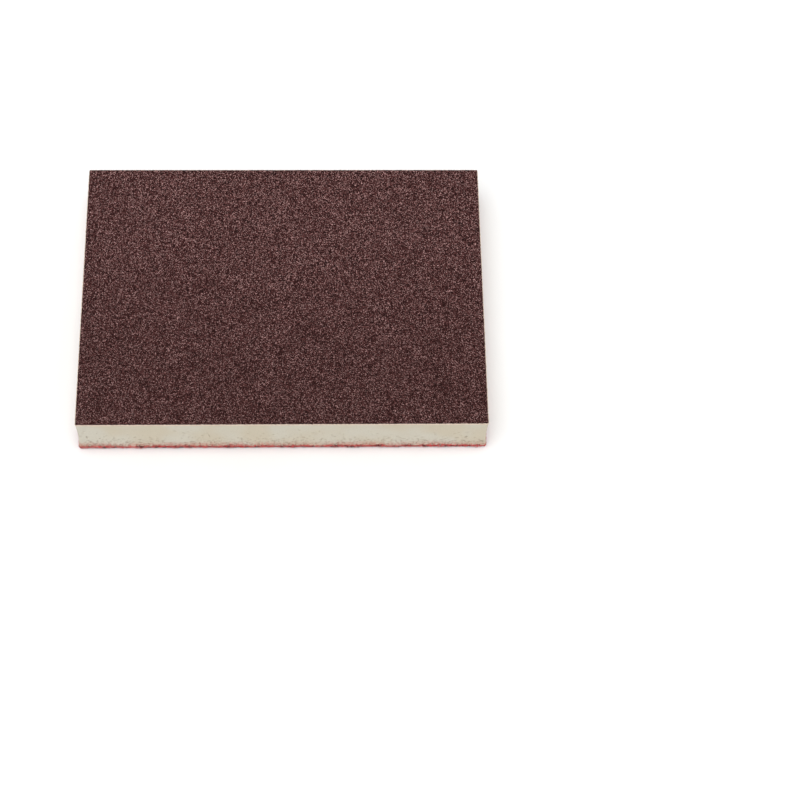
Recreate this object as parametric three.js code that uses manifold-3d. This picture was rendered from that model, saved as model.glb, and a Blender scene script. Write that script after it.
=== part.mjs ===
// A hook-and-loop foam sanding pad, 4 in by 3 in: a flexible abrasive sheet on a slab of soft open-cell foam,
// with a loop cloth on the other face that presses onto the hook face of a sander or a hand block.
// The pad lies with its loops down and its grain up. Units are millimetres, +Z is up, X runs along the long
// side, and the origin is the middle of the face that the pad rests on.
// It is a laminate: each sheet, coat and film of glue is one mesh, stacked face to face from the bottom.

import * as THREE from "three";
import { mergeVertices } from "three/addons/utils/BufferGeometryUtils.js";
import Module from "manifold-3d";

const INCH = 25.4;

// Driving dimensions.
const LENGTH = 4 * INCH;
const WIDTH = 3 * INCH;
const FOAM_THICKNESS = 10.5;

// Thickness of the loop cloth and of the glue that holds it to the foam.
const PILE_HEIGHT = 0.8;
const GROUND_THICKNESS = 0.3;
const GLUE_THICKNESS = 0.1;

// Thickness of the abrasive sheet's backing and coats.
const BACKING_THICKNESS = 0.35;
const MAKE_COAT_THICKNESS = 0.05;
const GRAIN_THICKNESS = 0.12;
const SIZE_COAT_THICKNESS = 0.03;

// The pad is cut from a wide laminate by a steel-rule die, which leaves nearly sharp corners. The soft foam
// is squeezed under the blade and springs back, so its cut sides are a little hollow.
const CORNER_RADIUS = 0.4;
const CORNER_SEGMENTS = 3;
const FOAM_WAIST = 0.3;
const FOAM_WAIST_STEPS = 10;

// The loops stand in ribs along the cloth, one for each wale of the knit, with shallow grooves between.
const WALE_PITCH = 0.8;
const RIB_CREST_SHARE = 0.45;
const GROOVE_DEPTH = 0.25;

const RED = 0xe01a1c;
const DARK_RED = 0xb01216;
const CLEAR_GLUE = 0xe4dcc4;
const FOAM_WHITE = 0xe6e2d2;
const LATEX_CREAM = 0xe8d8b4;
const RESIN_BROWN = 0x4a2c29;
const GRAIN_BROWN = 0x573c3b;
const SIZE_BROWN = 0x5c403f;

const wasm = await Module();
wasm.setup();

// A closed mesh as a solid that can be cut.
function toSolid(geometry) {
  const bare = geometry.clone();
  bare.deleteAttribute("normal");
  bare.deleteAttribute("uv");
  const merged = mergeVertices(bare, 1e-4);
  return new wasm.Manifold(
    new wasm.Mesh({
      numProp: 3,
      vertProperties: merged.attributes.position.array,
      triVerts: new Uint32Array(merged.index.array),
    }),
  );
}

function toGeometry(solid) {
  const mesh = solid.getMesh();
  const geometry = new THREE.BufferGeometry();
  geometry.setAttribute("position", new THREE.BufferAttribute(mesh.vertProperties, 3));
  geometry.setIndex(new THREE.BufferAttribute(mesh.triVerts, 1));
  geometry.computeVertexNormals();
  return geometry;
}

// The die's outline: a rectangle about the origin with its corners just taken off.
function dieOutline() {
  const x = LENGTH / 2 - CORNER_RADIUS;
  const y = WIDTH / 2 - CORNER_RADIUS;
  const outline = new THREE.Shape();
  outline.absarc(x, y, CORNER_RADIUS, 0, Math.PI / 2);
  outline.absarc(-x, y, CORNER_RADIUS, Math.PI / 2, Math.PI);
  outline.absarc(-x, -y, CORNER_RADIUS, Math.PI, Math.PI * 1.5);
  outline.absarc(x, -y, CORNER_RADIUS, Math.PI * 1.5, Math.PI * 2);
  outline.closePath();
  return outline;
}

// A flat layer of the die's outline, from z = 0 up.
function sheet(thickness, steps = 1) {
  return new THREE.ExtrudeGeometry(dieOutline(), {
    depth: thickness,
    steps,
    bevelEnabled: false,
    curveSegments: CORNER_SEGMENTS,
  });
}

// The foam slab: a sheet whose sides curve in by the waist at half its height and meet the outline at both faces.
function foamSlab() {
  const slab = sheet(FOAM_THICKNESS, FOAM_WAIST_STEPS);
  const position = slab.getAttribute("position");
  for (let i = 0; i < position.count; i += 1) {
    const height = position.getZ(i) / FOAM_THICKNESS;
    const inset = FOAM_WAIST * 4 * height * (1 - height);
    position.setX(i, position.getX(i) - Math.sign(position.getX(i)) * inset);
    position.setY(i, position.getY(i) - Math.sign(position.getY(i)) * inset);
  }
  return slab;
}

// The loops as one layer: ribs with flat crests at z = 0, drawn across the pad and run along its width, then cut
// to the die's outline. An odd number of ribs puts a crest on the middle line.
function ribbedPile() {
  const ribs = 2 * Math.ceil(LENGTH / WALE_PITCH / 2) + 1;
  const left = (-ribs * WALE_PITCH) / 2;
  const crest = WALE_PITCH * RIB_CREST_SHARE;
  const slope = (WALE_PITCH - crest) / 2;
  const section = new THREE.Shape();
  section.moveTo(left, PILE_HEIGHT);
  section.lineTo(left, GROOVE_DEPTH);
  for (let rib = 0; rib < ribs; rib += 1) {
    const start = left + rib * WALE_PITCH;
    section.lineTo(start + slope, 0);
    section.lineTo(start + slope + crest, 0);
    section.lineTo(start + WALE_PITCH, GROOVE_DEPTH);
  }
  section.lineTo(left + ribs * WALE_PITCH, PILE_HEIGHT);
  section.closePath();
  const run = WIDTH + 2 * WALE_PITCH;
  const cloth = new THREE.ExtrudeGeometry(section, { depth: run, steps: 1, bevelEnabled: false });
  cloth.rotateX(Math.PI / 2);
  cloth.translate(0, run / 2, 0);
  const die = sheet(3 * PILE_HEIGHT).translate(0, 0, -PILE_HEIGHT);
  return toGeometry(toSolid(cloth).intersect(toSolid(die)));
}

const pad = new THREE.Group();
let top = 0;

// Lays the next layer on the stack.
function lay(name, geometry, thickness, color, roughness) {
  const material = new THREE.MeshStandardMaterial({ color, roughness, metalness: 0 });
  const mesh = new THREE.Mesh(geometry, material);
  mesh.name = name;
  mesh.position.z = top;
  pad.add(mesh);
  top += thickness;
}

lay("loop_pile", ribbedPile(), PILE_HEIGHT, RED, 0.9);
lay("loop_ground_cloth", sheet(GROUND_THICKNESS), GROUND_THICKNESS, DARK_RED, 0.9);
lay("loop_glue_film", sheet(GLUE_THICKNESS), GLUE_THICKNESS, CLEAR_GLUE, 0.4);
lay("foam_core", foamSlab(), FOAM_THICKNESS, FOAM_WHITE, 0.95);
lay("face_glue_film", sheet(GLUE_THICKNESS), GLUE_THICKNESS, CLEAR_GLUE, 0.4);
lay("latex_backing", sheet(BACKING_THICKNESS), BACKING_THICKNESS, LATEX_CREAM, 0.7);
lay("make_coat", sheet(MAKE_COAT_THICKNESS), MAKE_COAT_THICKNESS, RESIN_BROWN, 0.5);
lay("grain_coat", sheet(GRAIN_THICKNESS), GRAIN_THICKNESS, GRAIN_BROWN, 0.8);
lay("size_coat", sheet(SIZE_COAT_THICKNESS), SIZE_COAT_THICKNESS, SIZE_BROWN, 0.5);

export default pad;
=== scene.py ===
import bpy
import numpy as np
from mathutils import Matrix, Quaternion, Vector, kdtree


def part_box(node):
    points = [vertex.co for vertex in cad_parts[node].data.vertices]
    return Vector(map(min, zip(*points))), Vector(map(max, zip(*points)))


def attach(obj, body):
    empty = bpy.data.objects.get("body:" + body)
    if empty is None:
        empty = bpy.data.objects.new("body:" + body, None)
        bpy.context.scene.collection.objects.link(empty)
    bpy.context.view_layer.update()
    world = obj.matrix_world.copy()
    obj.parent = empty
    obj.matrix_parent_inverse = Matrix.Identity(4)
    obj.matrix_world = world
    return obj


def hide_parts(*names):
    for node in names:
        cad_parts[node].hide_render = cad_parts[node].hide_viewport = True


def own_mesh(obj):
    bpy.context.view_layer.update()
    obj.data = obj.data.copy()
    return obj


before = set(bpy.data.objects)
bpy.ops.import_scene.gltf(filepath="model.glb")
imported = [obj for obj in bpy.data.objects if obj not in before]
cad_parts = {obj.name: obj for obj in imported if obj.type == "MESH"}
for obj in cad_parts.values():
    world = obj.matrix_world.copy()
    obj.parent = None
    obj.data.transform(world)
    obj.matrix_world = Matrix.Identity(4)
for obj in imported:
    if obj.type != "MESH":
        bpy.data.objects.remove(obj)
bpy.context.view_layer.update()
MM = 0.001

# ----------------------------------------------------------------------------------------------------------
# Ground cloth: the warp-knitted nylon cloth, dyed red, that the loops grow out of. It is glued to the foam,
# and the die leaves it with a saw edge, one tooth for each wale. A plain pattern of slanting bars is
# printed on it and on its loops in a darker red.
# ----------------------------------------------------------------------------------------------------------
WALE = 0.8 * MM
STITCH = 0.35 * WALE
STITCH_DEPTH = 0.15 * MM
TOOTH = 0.14 * MM
WOBBLE = 0.03 * MM
LOW_INSET = 0.20 * MM
HIGH_INSET = 0.04 * MM
CORNER_RADIUS = 0.4 * MM
CORNER_POINTS = 7
WAVES = 24
RED = (0.78, 0.009, 0.013)
DARK_RED = (0.30, 0.004, 0.006)
# The dark red of the clumps along the cut edge: partly dark ink, partly painted shade.
INK_AND_SHADE_RED = (0.080, 0.002, 0.006)
CLUMP = 1.0 * MM
CLUMPS_FADE_AT = 0.4 * MM
CLUMPS_END_AT = 0.7 * MM
INK = (0.17, 0.002, 0.004)
INK_COVER = 0.9
ROW_PITCH = 19 * MM
ROW_FILLED = 0.32
ROW_SHIFT = 3
BAR_PITCH = 4.2 * MM
BAR_SLANT = 0.6
BARS = 5
GROUP_PITCH = 7
cloth_low, cloth_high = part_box("loop_ground_cloth")


def die_cut(pitch):
    """The line that the die cuts: points a pitch apart, the way out at each, and how far round it is."""
    x, y = cloth_high.x - CORNER_RADIUS, cloth_high.y - CORNER_RADIUS
    turn = np.linspace(0, np.pi / 2, CORNER_POINTS)
    corners = [(x, -y, -np.pi / 2), (x, y, 0), (-x, y, np.pi / 2), (-x, -y, np.pi)]
    arcs = [
        np.column_stack([cx + CORNER_RADIUS * np.cos(at + turn), cy + CORNER_RADIUS * np.sin(at + turn)])
        for cx, cy, at in corners
    ]
    outline = np.vstack([*arcs, arcs[0][:1]])
    length = np.concatenate([[0], np.cumsum(np.linalg.norm(np.diff(outline, axis=0), axis=1))])
    count = round(length[-1] / pitch)
    run = np.arange(count) / count * length[-1]
    line = np.column_stack([np.interp(run, length, outline[:, axis]) for axis in (0, 1)])
    along = np.roll(line, -1, axis=0) - np.roll(line, 1, axis=0)
    out = np.column_stack([along[:, 1], -along[:, 0]])
    return line, out / np.linalg.norm(out, axis=1, keepdims=True), run


def ripple(run, waves, size, seed):
    """A wavy offset that closes on itself round the cut: many sine waves of random phase."""
    draw = np.random.default_rng(seed)
    around = 2 * np.pi * run / (run[-1] + run[1])
    turns = draw.integers(waves[0], waves[1], WAVES)
    phases = draw.uniform(0, 2 * np.pi, WAVES)
    return size * np.sin(np.outer(around, turns) + phases).sum(axis=1) / np.sqrt(WAVES / 2)


def ring(line, out, offset, height):
    """One ring of a sheet's edge: the cut line moved out by an offset, at a height."""
    flat = line + out * np.reshape(offset, (-1, 1))
    return np.column_stack([flat, np.broadcast_to(height, len(line))])


def shape(name, points, faces, material, smooth=False):
    """A piece made of one mesh in one material."""
    mesh = bpy.data.meshes.new(name)
    mesh.from_pydata(np.asarray(points).tolist(), [], np.asarray(faces, dtype=object).tolist())
    mesh.materials.append(material)
    mesh.polygons.foreach_set("use_smooth", [smooth] * len(mesh.polygons))
    made = bpy.data.objects.new(name, mesh)
    bpy.context.scene.collection.objects.link(made)
    return made


def sheet(name, rings, material):
    """A closed sheet: a top, a bottom, and the edge that its rings give it, lowest ring first."""
    count = len(rings[0])
    here = np.arange(count)
    following = np.roll(here, -1)
    faces = [here[::-1].tolist()]
    for base in range(0, (len(rings) - 1) * count, count):
        above = base + count
        quads = np.column_stack([base + here, base + following, above + following, above + here])
        faces += quads.tolist()
    faces.append((here + (len(rings) - 1) * count).tolist())
    return shape(name, np.vstack(rings), faces, material)


# Where a Mix node keeps its two colours among its inputs, and their mix among its outputs.
COLOUR_A, COLOUR_B = 6, 7
COLOUR_RESULT = 2


class Socket:
    """One socket of a material's nodes. Arithmetic on sockets and numbers adds Math nodes."""

    def __init__(self, tree, socket):
        self.tree = tree
        self.socket = socket

    def node(self, kind, settings, inputs, output=0):
        """Adds a node: its settings first, then the values or links of its sockets."""
        made = self.tree.nodes.new("ShaderNode" + kind)
        for name, value in settings.items():
            if name == "stops":
                ramp = made.color_ramp
                while len(ramp.elements) < len(value):
                    ramp.elements.new(1)
                for element, (position, colour) in zip(ramp.elements, value):
                    element.position = position
                    element.color = (*colour, 1)
            else:
                setattr(made, name, value)
        for name, value in inputs.items():
            if isinstance(value, Socket):
                self.tree.links.new(value.socket, made.inputs[name])
            else:
                made.inputs[name].default_value = value
        return Socket(self.tree, made.outputs[output])

    def math(self, operation, *values):
        return self.node("Math", {"operation": operation}, dict(enumerate(values)))

    def __add__(self, other):
        return self.math("ADD", self, other)

    def __radd__(self, other):
        return self.math("ADD", other, self)

    def __sub__(self, other):
        return self.math("SUBTRACT", self, other)

    def __rsub__(self, other):
        return self.math("SUBTRACT", other, self)

    def __mul__(self, other):
        return self.math("MULTIPLY", self, other)

    def __rmul__(self, other):
        return self.math("MULTIPLY", other, self)

    def __truediv__(self, other):
        return self.math("DIVIDE", self, other)

    def __rtruediv__(self, other):
        return self.math("DIVIDE", other, self)

    def __lt__(self, other):
        return self.math("LESS_THAN", self, other)

    def __gt__(self, other):
        return self.math("GREATER_THAN", self, other)

    def whole(self):
        return self.math("FLOOR", self)

    def part(self):
        return self.math("FRACT", self)

    def __abs__(self):
        return self.math("ABSOLUTE", self)

    def most(self, other):
        """The larger of two values."""
        return self.math("MAXIMUM", self, other)

    def axis(self, name):
        """The X, Y or Z of a vector."""
        return self.node("SeparateXYZ", {}, {"Vector": self}, name)

    def stored(self, name):
        """A value that is stored at the mesh's points."""
        return self.node("Attribute", {"attribute_name": name}, {}, "Fac")

    def noise(self, size, detail=2.0):
        """Cloudy noise with lumps of a size in metres."""
        return self.node("TexNoise", {}, {"Vector": self, "Scale": 1 / size, "Detail": detail}, "Fac")

    def cells(self, size, output="Distance"):
        """How far the middle of the nearest random cell is, for cells of a size in metres."""
        return self.node("TexVoronoi", {}, {"Vector": self, "Scale": 1 / size}, output)

    def chance(self, size):
        """A random value from 0 to 1 for each cell of a size in metres."""
        return self.node("SeparateColor", {}, {"Color": self.cells(size, "Color")})

    def ease(self, start, end, low=0.0, high=1.0):
        """Low up to the start, high from the end on, and smooth between."""
        inputs = {"Value": self, "From Min": start, "From Max": end, "To Min": low, "To Max": high}
        return self.node("MapRange", {"interpolation_type": "SMOOTHSTEP"}, inputs)

    def ramp(self, *stops):
        """A colour that goes through the stops, each a position from 0 to 1 and a colour."""
        return self.node("ValToRGB", {"stops": stops}, {"Fac": self})

    def mixed(self, first, second):
        """A colour: the first where this socket is 0, and the second where it is 1."""
        colours = [value if isinstance(value, Socket) else (*value, 1) for value in (first, second)]
        inputs = {"Factor": self, COLOUR_A: colours[0], COLOUR_B: colours[1]}
        return self.node("Mix", {"data_type": "RGBA"}, inputs, COLOUR_RESULT)

    def bump(self, depth, strength=1.0):
        return self.node("Bump", {}, {"Height": self, "Distance": depth, "Strength": strength}, "Normal")


def finish(name, **plain):
    """A new material with its shader's plain values, and the socket of a piece's coordinates in it."""
    material = bpy.data.materials.new(name)
    material.use_nodes = True
    shader = material.node_tree.nodes["Principled BSDF"]
    for socket, value in plain.items():
        shader.inputs[socket.replace("_", " ").title().replace("Ior", "IOR")].default_value = value
    place = material.node_tree.nodes.new("ShaderNodeTexCoord").outputs["Object"]
    return material, Socket(material.node_tree, place)


def lay_on(material, **varied):
    """Links what changes over the surface to the material's shader."""
    shader = material.node_tree.nodes["Principled BSDF"]
    for name, value in varied.items():
        material.node_tree.links.new(value.socket, shader.inputs[name.replace("_", " ").title()])


def ink_and_shade_clumps(place):
    """1 in dark clumps along the cut yarn, partly dark ink and partly painted shade, and 0 elsewhere."""
    return place.noise(CLUMP, 3.0).ease(0.52, 0.56)


def printed(place):
    """1 on the printed pattern, rows of slanting bars in groups of five, and 0 elsewhere."""
    row = place.axis("Y") / ROW_PITCH + 0.5
    bar = (place.axis("X") + BAR_SLANT * place.axis("Y")) / BAR_PITCH + ROW_SHIFT * row.whole()
    in_group = (bar / GROUP_PITCH).part() < BARS / GROUP_PITCH
    return (row.part() < ROW_FILLED) * in_group * (bar.part() < 0.5)


cloth_finish, place = finish("knitted_ground", roughness=0.8, specular_ior_level=0.2)
stitch = place.cells(STITCH)
knit = stitch.ramp((0.1, RED), (0.8, DARK_RED))
from_cut = (abs(place.axis("X")) - cloth_high.x).most(abs(place.axis("Y")) - cloth_high.y)
# Painted shade and dark ink, in clumps near the cut edge, fading out away from it.
edge_ink_and_shade = ink_and_shade_clumps(place) * from_cut.ease(-CLUMPS_END_AT, -CLUMPS_FADE_AT)
lay_on(
    cloth_finish,
    base_color=edge_ink_and_shade.mixed((INK_COVER * printed(place)).mixed(knit, INK), INK_AND_SHADE_RED),
    normal=(1 - stitch).bump(STITCH_DEPTH),
)
line, out, run = die_cut(WALE / 4)
tooth = TOOTH * np.abs((run / WALE) % 1 - 0.5) * 2 + ripple(run, (20, 90), WOBBLE, 11)
cloth = sheet(
    "ground_cloth",
    [
        ring(line, out, tooth - LOW_INSET, cloth_low.z),
        ring(line, out, tooth - HIGH_INSET, 0.5 * (cloth_low.z + cloth_high.z)),
        ring(line, out, tooth - HIGH_INSET, cloth_high.z),
    ],
    cloth_finish,
)
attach(cloth, "loop_side")
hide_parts("loop_ground_cloth")

# ----------------------------------------------------------------------------------------------------------
# Loops: one loop of nylon yarn for each stitch of the ground cloth, brushed so that it leans. They are what
# the hooks catch. They are made as a few bands across the pad, to keep each mesh small.
# ----------------------------------------------------------------------------------------------------------
COURSE = 0.75 * MM
YARN = 0.075 * MM
YARN_SIDES = 4
MARGIN = 0.1 * MM
SCATTER = 0.05 * MM
ROOT_DEPTH = 0.05 * MM
LOOP_STEPS = 6
LOOP_BANDS = 4
pile_low, pile_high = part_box("loop_pile")

yarn_finish, place = finish("loop_yarn", roughness=0.7, specular_ior_level=0.1)
shade = place.chance(0.7 * MM)
plain_red = shade.ramp((0, (0.68, 0.006, 0.008)), (0.6, RED), (1, (0.86, 0.03, 0.03)))
lay_on(yarn_finish, base_color=(INK_COVER * printed(place)).mixed(plain_red, INK))


def tubes(centres, radius, sides):
    """Closed tubes as points and faces. centres is an array of (tube, step, 3)."""
    count, steps, _ = centres.shape
    along = np.gradient(centres, axis=1)
    along /= np.linalg.norm(along, axis=2, keepdims=True)
    aside = np.cross(along, np.roll(along, 1, axis=2) + 0.3)
    aside /= np.linalg.norm(aside, axis=2, keepdims=True)
    other = np.cross(along, aside)
    turn = (np.arange(sides) * 2 * np.pi / sides)[None, None, :, None]
    spokes = aside[:, :, None, :] * np.cos(turn) + other[:, :, None, :] * np.sin(turn)
    points = centres[:, :, None, :] + spokes * radius
    counts = (np.arange(count), np.arange(steps - 1), np.arange(sides))
    tube, step, side = np.meshgrid(*counts, indexing="ij")
    base = (tube * steps + step) * sides
    after = (side + 1) % sides
    quads = np.stack([base + side, base + after, base + sides + after, base + sides + side], axis=-1)
    first = np.arange(count)[:, None] * steps * sides + np.arange(sides)
    last = first + (steps - 1) * sides
    faces = quads.reshape(-1, 4).tolist() + first[:, ::-1].tolist() + last.tolist()
    return points.reshape(-1, 3), faces


draw = np.random.default_rng(7)
half_wales, half_courses = int(pile_high.x / WALE), int(pile_high.y / COURSE)
wales = np.arange(-half_wales, half_wales + 1) * WALE
courses = np.arange(-half_courses, half_courses + 1) * COURSE
foot_x, foot_y = (grid.ravel() for grid in np.meshgrid(wales, courses))
foot_y = foot_y + (np.round(foot_x / WALE) % 2) * 0.5 * COURSE
inside = (np.abs(foot_x) < pile_high.x) & (np.abs(foot_y) < pile_high.y - MARGIN)
foot_x = foot_x[inside] + draw.normal(0, SCATTER, inside.sum())
foot_y = foot_y[inside] + draw.normal(0, SCATTER, inside.sum())
reach = pile_high.z - pile_low.z - 2 * YARN
bend = np.linspace(0, np.pi, LOOP_STEPS + 1)
heading = draw.normal(0.6, 0.35, len(foot_x))
breadth = draw.uniform(0.2, 0.32, len(foot_x)) * MM
drop = reach * draw.uniform(0.8, 1.0, len(foot_x))
lean = draw.normal(0.35, 0.15, len(foot_x)) * MM
side_step = np.outer(breadth, np.cos(bend))
down = np.outer(drop, np.sin(bend) ** 0.7)
leaning = np.outer(lean, np.sin(bend) ** 2)
centres = np.stack(
    [
        foot_x[:, None] + side_step * np.cos(heading)[:, None] - leaning * np.sin(heading)[:, None],
        foot_y[:, None] + side_step * np.sin(heading)[:, None] + leaning * np.cos(heading)[:, None],
        pile_high.z + ROOT_DEPTH - down,
    ],
    axis=-1,
)
bands = np.array_split(np.argsort(foot_x), LOOP_BANDS)
for number, band in enumerate(bands, 1):
    loops = shape(f"loops_{number}", *tubes(centres[band], YARN, YARN_SIDES), yarn_finish, smooth=True)
    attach(loops, "loop_side")
    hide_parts("loop_pile")

# ----------------------------------------------------------------------------------------------------------
# Cut fringe: the loops that stand in the die's way, cut through. They curl out past the saw edge, and
# single fibres fray out of them and cling to the foam above.
# ----------------------------------------------------------------------------------------------------------
FRINGE_PITCH = 0.25 * MM
FRINGE_REACH = 0.20 * MM
FRINGE_YARN = 0.09 * MM
FIBRE = 0.022 * MM
FIBRE_SIDES = 3
FIBRE_ROOT = 0.25 * MM
FIBRES = 2600
fringe_finish, place = finish("cut_yarn", roughness=0.7, specular_ior_level=0.2)
frayed_red = place.chance(0.3 * MM).ramp(
    (0, (0.62, 0.025, 0.036)),
    (0.5, (0.70, 0.09, 0.09)),
    (1, (0.76, 0.36, 0.32)),
)
# The cut yarn's dark clumps are partly dark ink and partly painted shade.
lay_on(fringe_finish, base_color=ink_and_shade_clumps(place).mixed(frayed_red, INK_AND_SHADE_RED))

draw = np.random.default_rng(19)
line, out, run = die_cut(FRINGE_PITCH)
along = np.column_stack([-out[:, 1], out[:, 0]])
curl = np.linspace(0, 1, LOOP_STEPS)
clump = 1 + ripple(run, (30, 160), 0.5, 29)
bulge = np.outer(draw.uniform(0.5, 1.2, len(run)) * clump * FRINGE_REACH, np.sin(np.pi * curl))
slant = np.outer(draw.normal(0.15, 0.12, len(run)) * MM, curl)
root = draw.uniform(0.04, 0.20, len(run)) * MM
flat = (line - out * root[:, None])[:, None, :] + out[:, None, :] * bulge[..., None]
flat = flat + along[:, None, :] * slant[..., None]
top = cloth_high.z + draw.uniform(-0.1, 0.55, len(run)) * MM
foot = pile_low.z + YARN + draw.uniform(0.05, 0.35, len(run)) * MM
height = top[:, None] + np.outer(foot - top, curl)
centres = np.concatenate([flat, height[..., None]], axis=2)
fringe = shape("cut_fringe", *tubes(centres, FRINGE_YARN, YARN_SIDES), fringe_finish, smooth=True)
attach(fringe, "loop_side")

fibre_finish, place = finish("frayed_fibre", roughness=0.6, specular_ior_level=0.3)
lay_on(
    fibre_finish,
    base_color=place.noise(0.6 * MM).ramp((0.3, (0.45, 0.01, 0.018)), (0.7, (0.80, 0.16, 0.15))),
)
pick = draw.integers(0, len(run), FIBRES)
start = line[pick] + out[pick] * draw.uniform(-0.02, 0.08, FIBRES)[:, None] * MM
climb = np.abs(draw.normal(0.5, 0.45, FIBRES)) * MM
drift = draw.normal(0, 0.35, FIBRES) * MM
bow = draw.uniform(0.02, 0.14, FIBRES) * MM
flat = start[:, None, :] + along[pick][:, None, :] * np.outer(drift, curl)[..., None]
flat = flat + out[pick][:, None, :] * np.outer(bow, np.sin(np.pi * curl))[..., None]
height = cloth_high.z - FIBRE_ROOT + np.outer(climb, curl)
centres = np.concatenate([flat, height[..., None]], axis=2)
fibres = shape("frayed_fibres", *tubes(centres, FIBRE, FIBRE_SIDES), fibre_finish, smooth=True)
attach(fibres, "loop_side")

# ----------------------------------------------------------------------------------------------------------
# Glue films: two thin coats of flexible glue, one on each face of the foam. They bond the loop cloth and
# the abrasive sheet to it, and the lower one has soaked up the cloth's dye.
# ----------------------------------------------------------------------------------------------------------
FILM_PITCH = 0.5 * MM
FILM_INSET = 0.06 * MM
dyed_glue, place = finish("dyed_glue", roughness=0.5)
lay_on(
    dyed_glue,
    base_color=place.noise(0.6 * MM).ramp((0.3, (0.55, 0.06, 0.05)), (0.7, (0.66, 0.30, 0.24))),
)
clear_glue, place = finish("clear_glue", roughness=0.45)
lay_on(
    clear_glue,
    base_color=place.noise(0.8 * MM).ramp((0.3, (0.62, 0.50, 0.36)), (0.7, (0.74, 0.62, 0.47))),
)
line, out, run = die_cut(FILM_PITCH)
edge = ripple(run, (10, 160), WOBBLE, 23) - FILM_INSET
films = [
    ("loop_glue", "loop_glue_film", "loop_side", dyed_glue),
    ("face_glue", "face_glue_film", "abrasive_side", clear_glue),
]
for name, node, body, glue_finish in films:
    film_low, film_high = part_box(node)
    film = sheet(name, [ring(line, out, edge, z) for z in (film_low.z, film_high.z)], glue_finish)
    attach(film, body)
    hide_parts(node)

# ----------------------------------------------------------------------------------------------------------
# Foam: a slab of soft, open-celled polyurethane foam. The die squeezes it as it cuts, so its sides spring
# back a little hollow, smooth near the top where the blade went in and with torn open cells lower down. Its
# colour is tinted red in patches towards its foot, and it carries painted shade in its cell hollows, pits
# and pores.
# ----------------------------------------------------------------------------------------------------------
FOAM_PITCH = 0.2 * MM
CELL = 0.42 * MM
FINE_CELL = 0.28 * MM
FINE_RELIEF = 0.06 * MM
STRAY = 0.45
CROWDED_LOW = 1.2
WAIST = 0.3 * MM
PIT = 0.30 * MM
TORN_AT_FOOT = 0.85
TORN_FALL = 4.2
TORN_ANYWHERE = 0.012
foam_low, foam_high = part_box("foam_core")
foam_depth = foam_high.z - foam_low.z

foam_finish, place = finish("open_cell_foam", roughness=0.95, specular_ior_level=0.2)
height = (place.axis("Z") - foam_low.z) / foam_depth
pore = place.stored("pore")
wall = place.cells(FINE_CELL)
cream = place.noise(9 * MM, 1.0).ease(0.35, 0.65).mixed((0.575, 0.542, 0.458), (0.56, 0.503, 0.395))
# Painted shade: the cream is darker in the middle of each small cell, where its hollow is.
cream_with_hollow_shade = (0.45 * wall.ease(0.35, 0.1)).mixed(cream, (0.38, 0.33, 0.25))
# Painted shade: dark specks in some cells, more of them towards the foot, for the shade inside open pores.
pore_shade_specks = wall.ease(0.30, 0.12) * place.chance(FINE_CELL).ease(0.7, 0.95) * height.ease(0.45, 0.0)
# Reddish towards the foot, in patches.
tint_patches = place.noise(6 * MM).ease(0.35, 0.65, 0.5, 1.0)
foot_tint = height.ease(0.24, 0.0) * place.noise(0.7 * MM).ease(0.2, 0.7) * tint_patches
tinted = (0.8 * foot_tint).mixed(cream_with_hollow_shade, (0.54, 0.15, 0.12))
shadowed = (0.6 * pore * height.ease(0.7, 0.05, 0.2, 1.0)).mixed(tinted, (0.24, 0.16, 0.12))
lay_on(
    foam_finish,
    base_color=(0.7 * pore_shade_specks).mixed(shadowed, (0.14, 0.09, 0.07)),
    normal=wall.bump(FINE_RELIEF, 0.6),
)

line, out, run = die_cut(FOAM_PITCH)
levels = round(foam_depth / FOAM_PITCH)
share = (np.arange(levels + 1) / levels) ** CROWDED_LOW
draw = np.random.default_rng(31)
cells_along, cells_up = round(run[-1] / CELL), round(foam_depth / CELL)
seed_run, seed_up = np.meshgrid(np.arange(cells_along), np.arange(cells_up) + 0.5)
seed_run = (seed_run + draw.uniform(-STRAY, STRAY, seed_run.shape)).ravel() * run[-1] / cells_along
seed_up = (seed_up + draw.uniform(-STRAY, STRAY, seed_up.shape)).ravel() / cells_up
torn = draw.random(len(seed_run)) < TORN_AT_FOOT * (1 - seed_up) ** TORN_FALL + TORN_ANYWHERE
opened = np.where(torn, draw.uniform(0.3, 1.0, len(seed_run)), draw.uniform(0.0, 0.14, len(seed_run)))
cells = kdtree.KDTree(len(seed_run))
for index, (across, up) in enumerate(zip(seed_run, seed_up)):
    cells.insert((across, up * foam_depth, 0), index)
cells.balance()
pits = np.zeros((levels + 1, len(run)))
for level in range(1, levels):
    for column, across in enumerate(run):
        (_, nearest, near), (_, _, far) = cells.find_n((across, share[level] * foam_depth, 0), 2)
        pits[level, column] = opened[nearest] * min(1.0, (far - near) / (0.5 * CELL))
edge = ripple(run, (6, 60), WOBBLE, 37)
foam = sheet(
    "foam",
    [
        ring(line, out, edge - 4 * WAIST * up * (1 - up) - PIT * pit, foam_low.z + up * foam_depth)
        for up, pit in zip(share, pits)
    ],
    foam_finish,
)
foam.data.attributes.new("pore", "FLOAT", "POINT").data.foreach_set("value", pits.ravel())
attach(foam, "loop_side")
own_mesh(foam)
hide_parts("foam_core")

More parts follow.
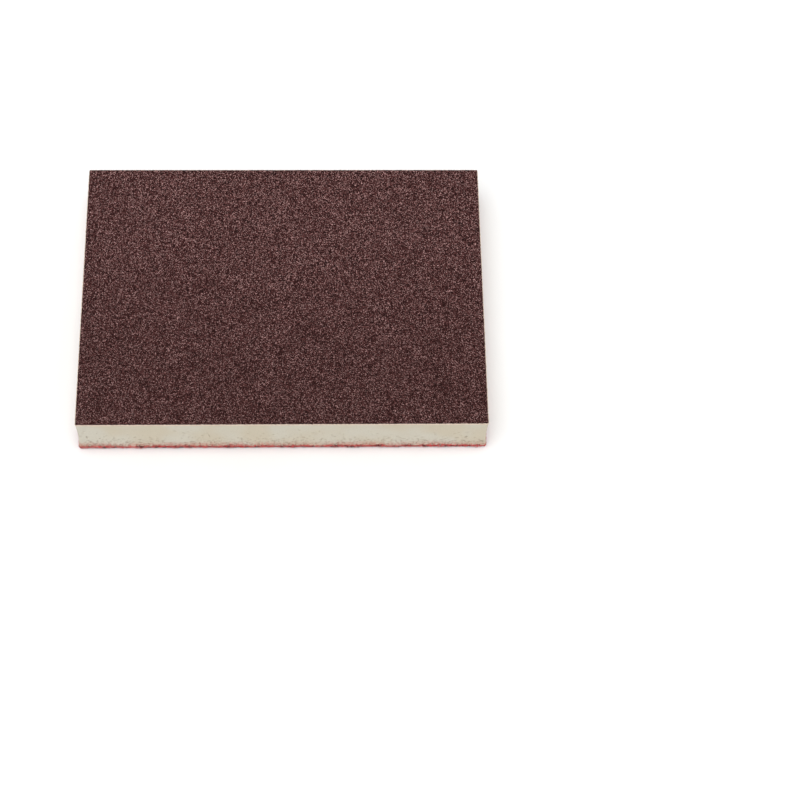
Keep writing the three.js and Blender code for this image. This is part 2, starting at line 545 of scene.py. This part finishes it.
# ----------------------------------------------------------------------------------------------------------
# Backing: a sheet of latex-filled cloth, cream and flexible, that carries the abrasive. Its cut edge shows
# as a pale line under the brown coats and stands a little proud of the foam.
# ----------------------------------------------------------------------------------------------------------
SHEET_PITCH = 0.25 * MM
BURR = 0.025 * MM
PROUD = 0.10 * MM
PROUD_AT_TOP = 0.08 * MM
BACKING_INSET = 0.02 * MM
backing_low, backing_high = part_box("latex_backing")
latex_finish, place = finish("latex_backing", roughness=0.6)
lay_on(
    latex_finish,
    base_color=place.noise(0.6 * MM).ramp((0.3, (0.66, 0.52, 0.42)), (0.7, (0.78, 0.64, 0.53))),
)
line, out, run = die_cut(SHEET_PITCH)
edge = ripple(run, (20, 400), BURR, 41)
backing = sheet(
    "latex_sheet",
    [
        ring(line, out, edge - BACKING_INSET, backing_low.z),
        ring(line, out, edge + PROUD, 0.6 * backing_low.z + 0.4 * backing_high.z),
        ring(line, out, edge + PROUD_AT_TOP, backing_high.z),
    ],
    latex_finish,
)
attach(backing, "abrasive_side")
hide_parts("latex_backing")

# ----------------------------------------------------------------------------------------------------------
# Make coat: the brown resin that is spread on the backing first and sets with the grain standing in it.
# Only its broken edge shows.
# ----------------------------------------------------------------------------------------------------------
MAKE_BURR = 0.04 * MM
MAKE_INSET = 0.08 * MM
make_low, make_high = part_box("make_coat")
resin_finish, place = finish("make_resin", roughness=0.4)
lay_on(
    resin_finish,
    base_color=place.noise(0.4 * MM).ramp((0.3, (0.030, 0.010, 0.008)), (0.7, (0.060, 0.022, 0.018))),
)
edge = ripple(run, (60, 700), MAKE_BURR, 43) - MAKE_INSET
make_coat = sheet("make_resin", [ring(line, out, edge, z) for z in (make_low.z, make_high.z)], resin_finish)
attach(make_coat, "abrasive_side")
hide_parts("make_coat")

# ----------------------------------------------------------------------------------------------------------
# Size coat: the second, thin coat of resin. It runs down over the grain and between the crystals, so its
# skin is all facets and pits. Its colour carries painted sheen, lighter towards the back and darker towards
# the front, and painted glints on some grains. The die chips it along the cut.
# ----------------------------------------------------------------------------------------------------------
SKIN_PITCH = 0.3 * MM
SKIN_STRAY = 0.35 * SKIN_PITCH
RELIEF = 0.06 * MM
CHIPPED = 0.09 * MM
CHIP_SPREAD = 0.03 * MM
SKIRT_INSET = 0.12 * MM
grain_low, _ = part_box("grain_coat")
_, size_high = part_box("size_coat")
half_x, half_y = size_high.x, size_high.y

skin_finish, place = finish("size_resin", roughness=0.6, specular_ior_level=0.08)
grit = place.chance(0.14 * MM)
# Grain tone from dark to light brown, with painted glints in the brightest cells.
grain_tone_and_glints = grit.ramp(
    (0.00, (0.008, 0.001, 0.001)),
    (0.54, (0.016, 0.003, 0.003)),
    (0.70, (0.074, 0.020, 0.019)),
    (0.87, (0.200, 0.080, 0.076)),
    (1.00, (0.720, 0.440, 0.420)),
)
# Painted sheen and shade: lighter towards the back, darker towards the front.
painted_sheen_shade = place.axis("Y").ease(-half_y, half_y, 0.30, 0.04)
cloudy = place.noise(5 * MM).ease(0.35, 0.65, 0.0, 0.10)
lay_on(skin_finish, base_color=(painted_sheen_shade + cloudy).mixed(grain_tone_and_glints, (0.016, 0.003, 0.002)))

draw = np.random.default_rng(53)
columns, rows = round(2 * half_x / SKIN_PITCH), round(2 * half_y / SKIN_PITCH)
across = np.linspace(-half_x, half_x, columns + 1)
skin_x, skin_y = np.meshgrid(across, np.linspace(-half_y, half_y, rows + 1))
inner = np.zeros(skin_x.shape)
inner[1:-1, 1:-1] = 1
skin_x = skin_x + inner * draw.uniform(-SKIN_STRAY, SKIN_STRAY, skin_x.shape)
skin_y = skin_y + inner * draw.uniform(-SKIN_STRAY, SKIN_STRAY, skin_x.shape)
skin_z = size_high.z - RELIEF * draw.random(skin_x.shape)
ragged = draw.normal(0, CHIP_SPREAD, skin_x.shape)
skin_x[:, [0, -1]] += ragged[:, [0, -1]] + CHIPPED * np.array([1, -1])
skin_y[[0, -1], :] += ragged[[0, -1], :] + CHIPPED * np.array([[1], [-1]])
index = np.arange(skin_x.size).reshape(skin_x.shape)
quads = np.stack([index[:-1, :-1], index[:-1, 1:], index[1:, 1:], index[1:, :-1]], axis=-1)
rim = np.concatenate([index[0, :-1], index[:-1, -1], index[-1, :0:-1], index[:0:-1, 0]])
points = np.column_stack([skin_x.ravel(), skin_y.ravel(), skin_z.ravel()])
narrower = 1 - SKIRT_INSET / half_y
skirt = points[rim] * (narrower, narrower, 0) + (0, 0, grain_low.z)
below = skin_x.size + np.arange(len(rim))
skirt_walls = np.column_stack([np.roll(rim, -1), rim, below, np.roll(below, -1)])
faces = quads.reshape(-1, 4).tolist() + skirt_walls.tolist() + [below[::-1].tolist()]
skin = shape("size_resin", np.vstack([points, skirt]), faces, skin_finish)
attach(skin, "abrasive_side")
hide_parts("size_coat")

# ----------------------------------------------------------------------------------------------------------
# Grain: brown crystals of aluminium oxide, thrown into the make coat while it is wet. Their tips stand out
# of the size coat and catch the light.
# ----------------------------------------------------------------------------------------------------------
CRYSTALS = 22000
CRYSTAL = 0.10 * MM
SUNK = 0.05 * MM
SUNK_SPREAD = 0.02 * MM

crystal_finish, place = finish("brown_crystal", roughness=0.4, specular_ior_level=0.2)
tip = place.chance(0.3 * MM)
lay_on(
    crystal_finish,
    base_color=tip.ramp((0, (0.020, 0.003, 0.003)), (0.6, (0.11, 0.034, 0.030)), (1, (0.44, 0.26, 0.24))),
)
draw = np.random.default_rng(61)
middle = draw.uniform(-1, 1, (CRYSTALS, 3)) * (half_x - CRYSTAL, half_y - CRYSTAL, SUNK_SPREAD)
middle[:, 2] += size_high.z - SUNK
turns, _ = np.linalg.qr(draw.normal(size=(CRYSTALS, 3, 3)))
turns *= np.sign(np.linalg.det(turns))[:, None, None]
long_axes = CRYSTAL * draw.uniform(0.6, 1.1, (CRYSTALS, 3))
tips = np.concatenate([turns * long_axes[:, None, :], -turns * long_axes[:, None, :]], axis=2)
points = middle[:, None, :] + tips.transpose(0, 2, 1)
facets = [(0, 1, 2), (1, 3, 2), (3, 4, 2), (4, 0, 2), (1, 0, 5), (3, 1, 5), (4, 3, 5), (0, 4, 5)]
faces = 6 * np.arange(CRYSTALS)[:, None, None] + np.array(facets)
grain = shape("grain_crystals", points.reshape(-1, 3), faces.reshape(-1, 3), crystal_finish)
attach(grain, "abrasive_side")
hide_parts("grain_coat")

# ----------------------------------------------------------------------------------------------------------
# Camera, table and light: a plain white table under a soft overhead light, in a studio with white walls.
# ----------------------------------------------------------------------------------------------------------
AIM = Vector((29.54, -24.41, 0)) * MM
AZIMUTH, ELEVATION, ROLL = np.radians((-4.00, 60.46, 3.27))
DISTANCE = 571.4 * MM
LENS_MM = 101.3
SENSOR_MM = 36
camera = bpy.data.cameras.new("camera")
camera.sensor_width = SENSOR_MM
camera.lens = LENS_MM
eye = bpy.data.objects.new("camera", camera)
back = Vector(
    (
        np.sin(AZIMUTH) * np.cos(ELEVATION),
        -np.cos(AZIMUTH) * np.cos(ELEVATION),
        np.sin(ELEVATION),
    )
)
eye.location = AIM + back * DISTANCE
eye.rotation_mode = "QUATERNION"
eye.rotation_quaternion = (-back).to_track_quat("-Z", "Y") @ Quaternion((0, 0, 1), ROLL)
bpy.context.scene.collection.objects.link(eye)
bpy.context.scene.camera = eye

TABLE_REACH = 20.0
table_finish, place = finish("white_table", roughness=0.9, specular_ior_level=0.0)
lay_on(
    table_finish,
    base_color=place.noise(40 * MM).ramp((0.3, (0.94, 0.94, 0.94)), (0.7, (0.97, 0.97, 0.97))),
)
corners = [(-TABLE_REACH, -TABLE_REACH, 0), (TABLE_REACH, -TABLE_REACH, 0)]
corners += [(TABLE_REACH, TABLE_REACH, 0), (-TABLE_REACH, TABLE_REACH, 0)]
table = shape("table", corners, [[0, 1, 2, 3]], table_finish)

WALL_TOP = 0.3
CEILING_GREY = 0.35
WALL_LIGHT = 1.02
world = bpy.data.worlds.new("studio")
world.use_nodes = True
nodes = world.node_tree.nodes
towards = Socket(world.node_tree, nodes.new("ShaderNodeTexCoord").outputs["Generated"])
room = towards.axis("Z").ramp((WALL_TOP, (1, 1, 1)), (1, (CEILING_GREY, CEILING_GREY, CEILING_GREY)))
world.node_tree.links.new(room.socket, nodes["Background"].inputs["Color"])
nodes["Background"].inputs["Strength"].default_value = WALL_LIGHT
bpy.context.scene.world = world

LAMP_SPREAD = 50
LAMP_POWER = 1.6
LAMP_DIRECTION = Vector((0.12, 0.25, -1))
lamp = bpy.data.lights.new("overhead", "SUN")
lamp.angle = np.radians(LAMP_SPREAD)
lamp.energy = LAMP_POWER
overhead = bpy.data.objects.new("overhead", lamp)
overhead.rotation_mode = "QUATERNION"
overhead.rotation_quaternion = LAMP_DIRECTION.to_track_quat("-Z", "Y")
bpy.context.scene.collection.objects.link(overhead)
bpy.context.scene.view_settings.view_transform = "Standard"
